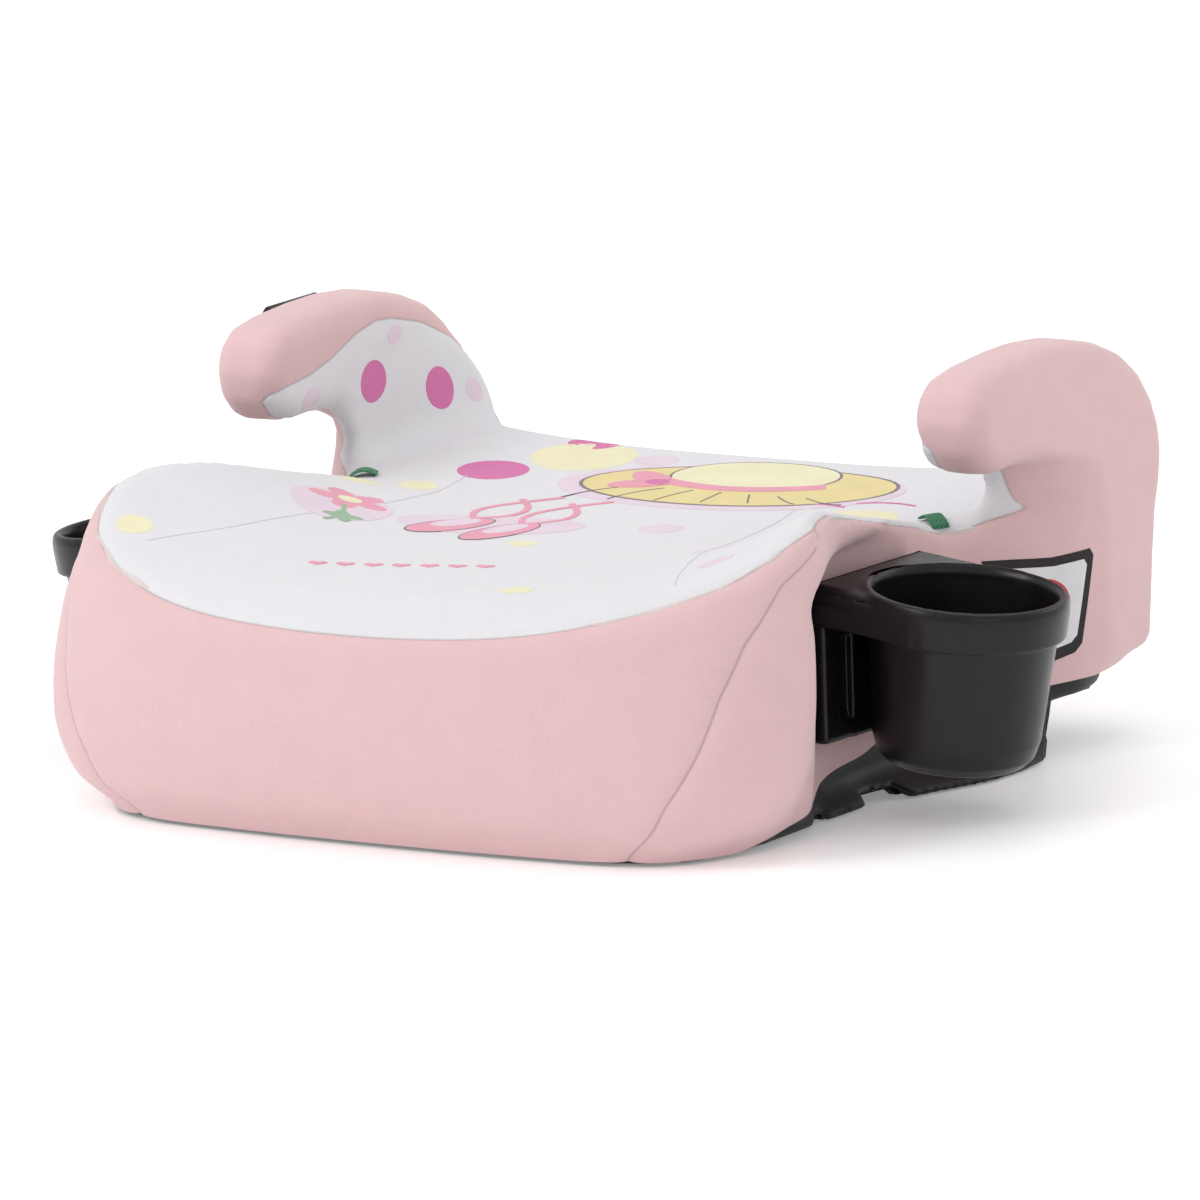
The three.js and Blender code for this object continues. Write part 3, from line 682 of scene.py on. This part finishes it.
def holder_field(x, y, z):
    """A cup in its ring, with a leaning plate and an upright back plate slotted for the rail."""
    c, s = math.cos(CUP_TILT), math.sin(CUP_TILT)
    p = (x * c - z * s, y, x * s + z * c)
    r = np.hypot(p[0], p[1])
    plate = block(p, (PLATE_BACK - 3.5, -PLATE_HALF, -PLATE_T), (2, PLATE_HALF, 0.6), 2.5)
    plate = smax(plate, (p[2] - 0.6 - (p[1] + PLATE_HALF - CHAMFER)) * 0.707, 2)
    plate = smax(plate, -block(p, (PLATE_BACK + BACK_T, -45, -25), (0, 45, -2.9)), 1.5)
    cup = sample(CUP_WALLS, r, p[2])
    d = smin(plate, cup, 2.5)
    q = (x, y, z)
    back = block(q, (PLATE_BACK - 1.5, -46.5, -BACK_H), (PLATE_BACK + BACK_T, 46.5, -4), 3)
    back = smax(back, -block(q, (-53.5, -34, -61), (-40, 34, -20), 4), 2)
    back = smin(back, block(q, (-55.5, -23, -BACK_H), (PLATE_BACK + BACK_T, 23, -12), 2), 1)
    back = smin(back, block(q, (-56, -2, -52), (-38, 2, -10), 1), 1)
    d = smin(d, back, 2)
    d = smax(d, -sample(CUP_ROOM, r, p[2]), 1.2)
    d = smax(d, -block(q, (-70, -13.3, -80), (-55.5, 13.3, SLOT_TOP), 0.3), 0.3)
    d = smax(d, -block(q, (-70, -21, -80), (-55.5, 21, -31), 0.3), 0.3)
    d = smax(d, -block(q, (-56.5, -19.3, -80), (-52, 19.3, SLOT_TOP), 0.3), 0.3)
    return smax(d, PLATE_BACK - x, 1)


def holder_place(v):
    """From the holder's own frame to the seat's, on the right side."""
    c, s = math.cos(CUP_YAW), math.sin(CUP_YAW)
    return np.stack([v[:, 0] * c + v[:, 1] * s, -v[:, 0] * s + v[:, 1] * c, v[:, 2]], 1) + CUP_AT


for name, mirror in (("right", False), ("left", True)):
    net_object("cup_holder_body_" + name, holder_field, (-61, -53, -87), (53, 53, 6), 1.1,
               "cup_" + name, holder_plastic, holder_place, mirror, ["cup_holder_" + name])

# shoulder-belt clip: a curved lip over the armrest's outer edge, holding the strap below
CLIP_AT = (-201.6, 190.0)       # middle of its bend, across and up
CLIP_R, CLIP_T, CLIP_HALF = 15.6, 4.0, 25.0
CLIP_Y = 92


def clip_field(x, y, z):
    """An upright skirt that bends inwards by 45 degrees, slotted for the strap."""
    u, w = x - CLIP_AT[0], z - CLIP_AT[1]
    d = np.where(w < 0, np.abs(u + CLIP_R), np.abs(np.hypot(u, w) - CLIP_R)) - CLIP_T / 2
    d = smax(d, (u + w) * 0.707 + 0.6, 2)
    d = smax(d, 150.4 - z, 2)
    d = smax(d, np.abs(y - CLIP_Y) - CLIP_HALF + 0.4, 3)
    return smax(d, -block((x, y, z), (-218.8, 100.8, 151.6), (-216.4, 130, 190.4), 0.3), 0.3)


net_object("belt_clip_lip", clip_field, (-222, 64, 147), (-197, 120, 210), 1.2, "seat",
           gloss_plastic, nodes=["belt_clip"])


def ribbon(name, path, width, thick, across, mat):
    """A closed flat band along a path, with softened edges."""
    path = np.array(path, float)
    across = np.array(across, float)
    across /= np.linalg.norm(across)
    tangent = np.gradient(path, axis=0)
    tangent /= np.linalg.norm(tangent, axis=1)[:, None]
    normal = np.cross(tangent, across)
    normal /= np.linalg.norm(normal, axis=1)[:, None]
    n = 24
    section = []
    for i in range(n):
        a = 2 * math.pi * i / n
        cu, sv = math.cos(a), math.sin(a)
        u = math.copysign(abs(cu) ** 0.35, cu) * width / 2
        w = math.copysign(abs(sv) ** 0.8, sv) * thick / 2
        section.append((u, w))
    verts = []
    for p, up in zip(path, normal):
        for u, w in section:
            verts.append(p + across * u + up * w)
    faces = []
    for k in range(len(path) - 1):
        for i in range(n):
            a, b = k * n + i, k * n + (i + 1) % n
            faces.append((a, b, b + n, a + n))
    faces.append(tuple(range(n))[::-1])
    faces.append(tuple((len(path) - 1) * n + i for i in range(n)))
    obj = make_object(name, verts, faces, "seat")
    face_outwards(obj)
    obj.data.materials.append(mat)
    return obj


STRAP_X, STRAP_W = -217.6, 38
STRAP_TOP = 190                 # upper edge of its run behind the clip
STRAP_START, STRAP_FOLD, STRAP_END = 101.5, 147, 34.3


def strap_mesh():
    """The folded strap as rows across its width: rearwards from the clip, then down to its anchor."""
    rows = []
    low = STRAP_TOP - STRAP_W
    for t in np.linspace(0, 1, 12):
        y = STRAP_START + t * (STRAP_FOLD - 0.2 - STRAP_START)
        rows.append(((y, low), (y, STRAP_TOP)))
    for t in np.linspace(0, 1, 14)[1:]:
        rows.append(((STRAP_FOLD, low), (STRAP_FOLD + STRAP_W * t, STRAP_TOP - STRAP_W * t)))
    for t in np.linspace(0, 1, 30)[1:]:
        z = low - (low - STRAP_END) * t
        rows.append(((STRAP_FOLD, z), (STRAP_FOLD + STRAP_W, z)))
    verts, faces = [], []
    across = np.linspace(0, 1, 9)
    for k, ((y0, z0), (y1, z1)) in enumerate(rows):
        ripple = 0.25 * math.sin(k * 0.55)
        for side in (-1, 1):
            for c in across:
                edge = 0.6 if 0.03 < c < 0.97 else 0.35
                verts.append((STRAP_X + side * edge + ripple * (c - 0.5), y0 + (y1 - y0) * c,
                              z0 + (z1 - z0) * c))
    n = len(across)
    for k in range(len(rows) - 1):
        a, b = 2 * n * k, 2 * n * (k + 1)
        for i in range(n - 1):
            faces.append((a + i, b + i, b + i + 1, a + i + 1))
            faces.append((a + n + i, a + n + i + 1, b + n + i + 1, b + n + i))
        faces.append((a, a + n, b + n, b))
        faces.append((a + n - 1, b + n - 1, b + 2 * n - 1, a + 2 * n - 1))
    e = 2 * n * (len(rows) - 1)
    for base, turn in ((0, 1), (e, -1)):
        for i in range(n - 1):
            faces.append((base + i, base + i + 1, base + n + i + 1, base + n + i)[::turn])
    return verts, faces


strap = make_object("shoulder_strap", *strap_mesh(), "seat")
face_outwards(strap, merge=1e-5)
strap.data.materials.append(black_webbing)
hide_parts("clip_strap")

# moulded skirt below the cover's hem, with a foot in front of and behind each notch
low_edge = curve([[-76, 0.6], [-71, 4.5], [-64, 4.5], [-59, 0.6], [-30, 0.6], [-25, 5.5], [-4, 5.5],
                  [1, 0.6], [94, 0.6], [106, 27], [112, 28.5], [220, 29]])


def skirt_field(x, y, z):
    """A band just inside the cushion's wall, from its feet to behind the cover's hem."""
    wall = outside_wall(x, y, z)
    d = smax(wall + 1.3, -wall - 9.0, 1.5)
    d = smax(d, z - hem_z(y) - 4, 1.5)
    return smax(d, low_edge(y) - z, 4)


net_object("base_skirt", skirt_field, (-224, -220, -4), (224, 216, 48), 2.2, "seat", base_plastic)


# ---------------------------------------------------------------- printed pattern and tags
bvh_points = []
bvh_faces = []
for o in bpy.data.objects:
    if o.name.startswith("cover_") and o.name.count("panel"):
        base = len(bvh_points)
        bvh_points += [Vector(p.co) * 1000 - Vector(SHIFT) for p in o.data.vertices]
        bvh_faces += [[base + i for i in f.vertices] for f in o.data.polygons]
cover_tree = BVHTree.FromPolygons(bvh_points, bvh_faces)


def onto_cover(p, aim, proud):
    """The point where a ray through p along aim meets the cover, raised by proud millimetres."""
    hit, normal, _, _ = cover_tree.ray_cast(Vector(p) - Vector(aim) * 60, Vector(aim), 140)
    if hit is None:
        return None
    if normal.dot(Vector(aim)) > 0:
        normal = -normal
    return np.array(hit + normal * proud)


def print_shape(bucket, outline, at, u, w, proud=0.12):
    """A thin patch of one outline (mm along u and w about at), laid on the cover."""
    u, w = np.array(u, float), np.array(w, float)
    u, w = u / np.linalg.norm(u), w / np.linalg.norm(w)
    aim = -np.cross(u, w)
    outline = np.array(outline, float)
    n = len(outline)
    size = np.abs(outline).max()
    rings = max(2, int(size / 4))
    centre = outline.mean(0)
    layers = []
    for lift in (proud, -0.3):
        pts = [centre] + [centre + (o - centre) * k / rings for k in range(1, rings + 1)
                          for o in outline]
        laid = [onto_cover(np.array(at) + a * u + b * w, aim, lift) for a, b in pts]
        if any(p is None for p in laid):
            return
        layers.append(laid)
    if np.ptp(np.array(layers[0]) @ aim) > 4 * size:
        return
    base, count = len(bucket[0]), 1 + rings * n
    bucket[0].extend(layers[0] + layers[1])
    for level, turn in ((0, 1), (1, -1)):
        b0 = base + level * count
        for i in range(n):
            j = (i + 1) % n
            bucket[1].append((b0, b0 + 1 + i, b0 + 1 + j)[::turn])
            for k in range(rings - 1):
                a, b = b0 + 1 + k * n + i, b0 + 1 + k * n + j
                bucket[1].append((a, a + n, b + n, b)[::turn])
    for i in range(n):
        a, b = base + 1 + (rings - 1) * n + i, base + 1 + (rings - 1) * n + (i + 1) % n
        bucket[1].append((a, a + count, b + count, b))


def oval(a, b=None, turn=0.0, n=28):
    """Outline of an ellipse with half widths a and b, turned by an angle."""
    b = a if b is None else b
    c, s = math.cos(turn), math.sin(turn)
    out = []
    for i in range(n):
        t = 2 * math.pi * i / n
        p, q = a * math.cos(t), b * math.sin(t)
        out.append((p * c - q * s, p * s + q * c))
    return out


def heart(size, turn=0.0):
    """Outline of a heart."""
    c, s = math.cos(turn), math.sin(turn)
    out = []
    for i in range(24):
        t = 2 * math.pi * i / 24
        p = size * math.sin(t) ** 3
        q = size * (13 * math.cos(t) - 5 * math.cos(2 * t) - 2 * math.cos(3 * t)
                    - math.cos(4 * t)) / 16
        out.append((p * c - q * s, p * s + q * c))
    return out


def stroke(points, width):
    """A line's points, and half its width across it at each."""
    p = np.array(points, float)
    d = np.gradient(p, axis=0)
    n = np.stack([-d[:, 1], d[:, 0]], 1)
    n /= np.linalg.norm(n, axis=1)[:, None]
    return p, n * width / 2


def print_stroke(bucket, points, width, at=(0, 0, 130), u=(1, 0, 0), w=(0, 1, 0), proud=0.3):
    """A thin raised line laid on the cover, ending where there is no cover below it."""
    p, n = stroke(points, width)
    u, w = np.array(u, float), np.array(w, float)
    aim = -np.cross(u, w)
    rows = []
    for a, b in zip(p, n):
        row = [onto_cover(np.array(at) + q[0] * u + q[1] * w, aim, k)
               for q, k in ((a - b, -0.25), (a - b, proud), (a + b, proud), (a + b, -0.25))]
        if any(r is None for r in row):
            break
        rows.append(row)
    if len(rows) < 2:
        return
    base = len(bucket[0])
    for row in rows:
        bucket[0].extend(row)
    for k in range(len(rows) - 1):
        for i in range(4):
            a, b = base + 4 * k + i, base + 4 * k + (i + 1) % 4
            bucket[1].append((a, b, b + 4, a + 4))
    bucket[1].append((base, base + 3, base + 2, base + 1))
    e = base + 4 * (len(rows) - 1)
    bucket[1].append((e, e + 1, e + 2, e + 3))


def bezier(a, b, c, n=24):
    """Points on a curve from a to c, bending towards b."""
    t = np.linspace(0, 1, n)[:, None]
    a, b, c = (np.array(p, float) for p in (a, b, c))
    return a * (1 - t) ** 2 + 2 * b * t * (1 - t) + c * t * t


INK = {"magenta": (0.62, 0.17, 0.38), "yellow": (0.78, 0.74, 0.50), "blush": (0.72, 0.60, 0.68),
       "straw": (0.74, 0.62, 0.30), "rose": (0.74, 0.33, 0.42), "dark": (0.22, 0.18, 0.2),
       "leaf": (0.30, 0.45, 0.30), "line": (0.60, 0.585, 0.61)}
SHARP = 0.7                     # patches are flat-shaded past this angle, in radians
ink = {k: ([], []) for k in INK}
TOP = dict(u=(1, 0, 0), w=(0, 1, 0))

for colour, x, y, r in (("yellow", -160, -139, 9), ("magenta", -168, -88, 24), ("blush", -158, 12, 11),
                        ("yellow", -148, 44, 10), ("yellow", -128, 66, 10),
                        ("magenta", -112, 111, 18), ("yellow", -84, 152, 27),
                        ("magenta", -94, 178, 13), ("blush", -46, 158, 11),
                        ("blush", 32, 30, 11), ("blush", 106, -42, 12), ("yellow", 112, 64, 28),
                        ("magenta", 150, 48, 5), ("blush", 146, -112, 9), ("yellow", 60, -150, 8),
                        ("yellow", -10, -30, 7)):
    print_shape(ink[colour], oval(r), (x, y, 130), **TOP)
for y, z, colour, a, b in ((106, 160, "magenta", 11.5, 10.5), (160, 148, "magenta", 11, 10.5),
                           (146, 131, "yellow", 17, 12), (50, 160.5, "blush", 8, 5.5),
                           (128, 180, "blush", 7, 4.5), (186, 143, "blush", 6, 6)):
    print_shape(ink[colour], oval(a, b, 0.2), (-172, y, z), (0, 1, 0), (0, 0, 1), 0.15)
# pale blotches under the motifs
for x, y, a, b, t in ((20, 118, 92, 44, 0.1), (-48, 4, 46, 24, 0.4), (-118, -20, 24, 30, 0.2)):
    print_shape(ink["blush"], oval(a, b, t), (x, y, 130), proud=0.2, **TOP)
# sun hat: brim, crown, band and bow
print_shape(ink["dark"], oval(84, 40, 0.12, 44), (22, 122, 130), proud=0.26, **TOP)
print_shape(ink["straw"], oval(82, 38, 0.12, 44), (22, 122, 130), proud=0.34, **TOP)
print_shape(ink["dark"], oval(45, 30, 0.1, 36), (20, 142, 130), proud=0.38, **TOP)
print_shape(ink["yellow"], oval(43.5, 28.5, 0.1, 36), (20, 142, 130), proud=0.46, **TOP)
print_stroke(ink["rose"], bezier((-24, 124), (20, 104), (65, 132)), 9, proud=0.55)
for t in (-0.6, 0.5):
    print_shape(ink["rose"], oval(17, 8, t), (-28, 118 - 10 * t, 130), proud=0.6, **TOP)
print_shape(ink["magenta"], oval(6, 5), (-22, 118, 130), proud=0.7, **TOP)
for k in range(-3, 4):
    print_stroke(ink["dark"], bezier((20 + 24 * k, 88 + 4 * k), (20 + 22 * k, 96), (20 + 16 * k, 108)),
                 0.9, proud=0.5)
# ballet slippers with ribbons
for dx, t in ((-64, -0.35), (-36, -0.2)):
    print_shape(ink["dark"], oval(11.5, 27, t), (dx, -8, 130), proud=0.28, **TOP)
    print_shape(ink["rose"], oval(10.5, 26, t), (dx, -8, 130), proud=0.36, **TOP)
    print_shape(ink["blush"], oval(6.5, 15, t), (dx - 1, -1, 130), proud=0.44, **TOP)
    print_stroke(ink["rose"], bezier((dx, 14), (dx - 24, 42), (dx + 14, 76)), 3.2, proud=0.34)
    print_stroke(ink["rose"], bezier((dx, 14), (dx + 26, 38), (dx - 4, 66)), 3.2, proud=0.4)
# small posy
for k in range(5):
    a = 2 * math.pi * k / 5
    print_shape(ink["rose"], oval(9, 6, a), (-122 + 11 * math.cos(a), -6 + 11 * math.sin(a), 130),
                proud=0.3, **TOP)
print_shape(ink["yellow"], oval(6), (-122, -6, 130), proud=0.42, **TOP)
print_stroke(ink["leaf"], bezier((-118, -18), (-104, -38), (-108, -52)), 2.4, proud=0.32)
for t in (0.5, 2.2):
    print_shape(ink["leaf"], oval(10, 4, t), (-106, -38, 130), proud=0.34, **TOP)
# row of hearts
for k in range(7):
    print_shape(ink["rose"], heart(4.6, 0.4), (-64 + 12.5 * k, -128 + 5 * k, 130), proud=0.34, **TOP)
# thin brush strokes near the right edge
print_stroke(ink["magenta"], bezier((48, 92), (70, 104), (96, 96)), 1.6)
print_stroke(ink["magenta"], bezier((98, 104), (114, 112), (132, 102)), 1.6)
# construction seams on the top panel
print_stroke(ink["line"], bezier((146, -150), (96, -50), (72, 100), 40), 0.7, proud=0.16)
print_stroke(ink["line"], bezier((-146, -150), (-96, -50), (-118, 96), 40), 0.7, proud=0.16)

for key, (points, faces) in ink.items():
    if not points:
        continue
    obj = make_object("print_" + key, points, faces, "seat")
    face_outwards(obj)
    obj.data.set_sharp_from_angle(angle=SHARP)
    obj.data.materials.append(fabric("print_" + key, INK[key], seams=False, contrast=0.03, sheen=0.1))

# folded ribbon tags that guide the lap belt
for side, sign in (("left", -1), ("right", 1)):
    path = []
    for t in np.linspace(0, 1, 13):
        p = onto_cover((sign * (155 + 12 * t), 72 - 8 * t, 130), (0, 0, -1), 0.9)
        path.append(p + np.array([0, 0, 2.2 * math.sin(math.pi * t)]))
    tag = ribbon("belt_tag_" + side, path, 10, 1.1, (sign * 0.5, 1, 0), green_ribbon)
    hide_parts("belt_guide_" + side)

# plain care label on the right armrest's outer side, with an empty ring
label = {"edge": ([], []), "panel": ([], []), "ring": ([], [])}
SIDE = dict(u=(0, 1, 0), w=(0, 0, 1))
outer = [(-31, 24), (0, 22), (20, 23.5), (22, 20), (14, -22), (10, -26), (-3, -29), (-20, -20)]


def dense(points, k=6):
    """An outline with k points on each edge."""
    p = np.array(points, float)
    return [tuple(a + (b - a) * i / k) for a, b in zip(p, np.roll(p, -1, 0)) for i in range(k)]


LABEL_AT, RING_AT = (190, 106, 77), (190, 101, 76)
print_shape(label["edge"], dense(outer), LABEL_AT, proud=0.2, **SIDE)
print_shape(label["panel"], [(a * 0.8, b * 0.8) for a, b in dense(outer)], LABEL_AT, proud=0.3, **SIDE)
print_shape(label["ring"], oval(13), RING_AT, proud=0.4, **SIDE)
print_shape(label["panel"], oval(10.5), RING_AT, proud=0.5, **SIDE)
for key, colour in (("edge", (0.035, 0.03, 0.034)), ("panel", (0.72, 0.71, 0.73)),
                    ("ring", (0.6, 0.05, 0.06))):
    if label[key][0]:
        obj = make_object("care_label_" + key, *label[key], "seat")
        face_outwards(obj)
        obj.data.set_sharp_from_angle(angle=SHARP)
        obj.data.materials.append(fabric("care_label_" + key, colour, seams=False, sheen=0.0))


# ---------------------------------------------------------------- camera, light, floor
def camera():
    """The photographer's view, from the seat's right front."""
    az, el, roll = math.radians(31.34), math.radians(11.08), math.radians(1.86)
    back = Vector((math.sin(az) * math.cos(el), -math.cos(az) * math.cos(el), math.sin(el)))
    right0 = Vector((math.cos(az), math.sin(az), 0))
    up0 = back.cross(right0)
    right = right0 * math.cos(roll) - up0 * math.sin(roll)
    up = right0 * math.sin(roll) + up0 * math.cos(roll)
    cam = bpy.data.objects.new("camera", bpy.data.cameras.new("camera"))
    m = Matrix((right, up, back)).transposed().to_4x4()
    m.translation = Vector((0, 0.005, 0.095)) + back * 5.625
    cam.matrix_world = m
    cam.data.sensor_width = 36
    cam.data.lens = 350.72
    cam.data.shift_x = 0.0221
    cam.data.shift_y = -0.0212
    cam.data.clip_end = 50
    bpy.context.scene.collection.objects.link(cam)
    bpy.context.scene.camera = cam


camera()


def area_light(name, place, aim, size, power, colour=(1, 1, 1)):
    data = bpy.data.lights.new(name, "AREA")
    data.shape = "RECTANGLE"
    data.size, data.size_y = size
    data.energy = power
    data.color = colour
    o = bpy.data.objects.new(name, data)
    o.location = place
    o.rotation_mode = "QUATERNION"
    o.rotation_quaternion = (Vector(aim) - Vector(place)).to_track_quat("-Z", "Y")
    bpy.context.scene.collection.objects.link(o)


area_light("key", (-1.6, -2.2, 2.4), (0, 0, 0.1), (1.6, 1.6), 44)
area_light("fill", (2.6, -1.6, 1.3), (0, 0, 0.1), (1.6, 1.2), 3)
area_light("top", (0.2, 0.4, 2.6), (0, 0, 0.1), (2.2, 2.2), 12)
area_light("rim", (1.6, 2.2, 1.5), (0, 0, 0.12), (1.4, 0.9), 6)

world = bpy.data.worlds.new("studio")
world.use_nodes = True
world.node_tree.nodes["Background"].inputs["Color"].default_value = (1, 1, 1, 1)
world.node_tree.nodes["Background"].inputs["Strength"].default_value = 0.8
bpy.context.scene.world = world
bpy.context.scene.view_settings.view_transform = "Standard"

floor_mesh = bpy.data.meshes.new("floor")
floor_mesh.from_pydata([(-15, -15, 0), (15, -15, 0), (15, 15, 0), (-15, 15, 0)], [], [(0, 1, 2, 3)])
floor = bpy.data.objects.new("floor", floor_mesh)
bpy.context.scene.collection.objects.link(floor)
floor_nodes = Nodes("floor")
floor_co, _ = floor_nodes.coords()
floor_nodes.put(floor_nodes.bsdf.inputs["Base Color"],
                floor_nodes.mix(floor_nodes.noise(floor_co, 3), rgba((0.93,) * 3), rgba((0.95,) * 3)))
floor_nodes.bsdf.inputs["Roughness"].default_value = 0.35
floor_nodes.bsdf.inputs["Emission Color"].default_value = (1, 1, 1, 1)
floor_nodes.bsdf.inputs["Emission Strength"].default_value = 0.2
floor_mesh.materials.append(floor_nodes.mat)
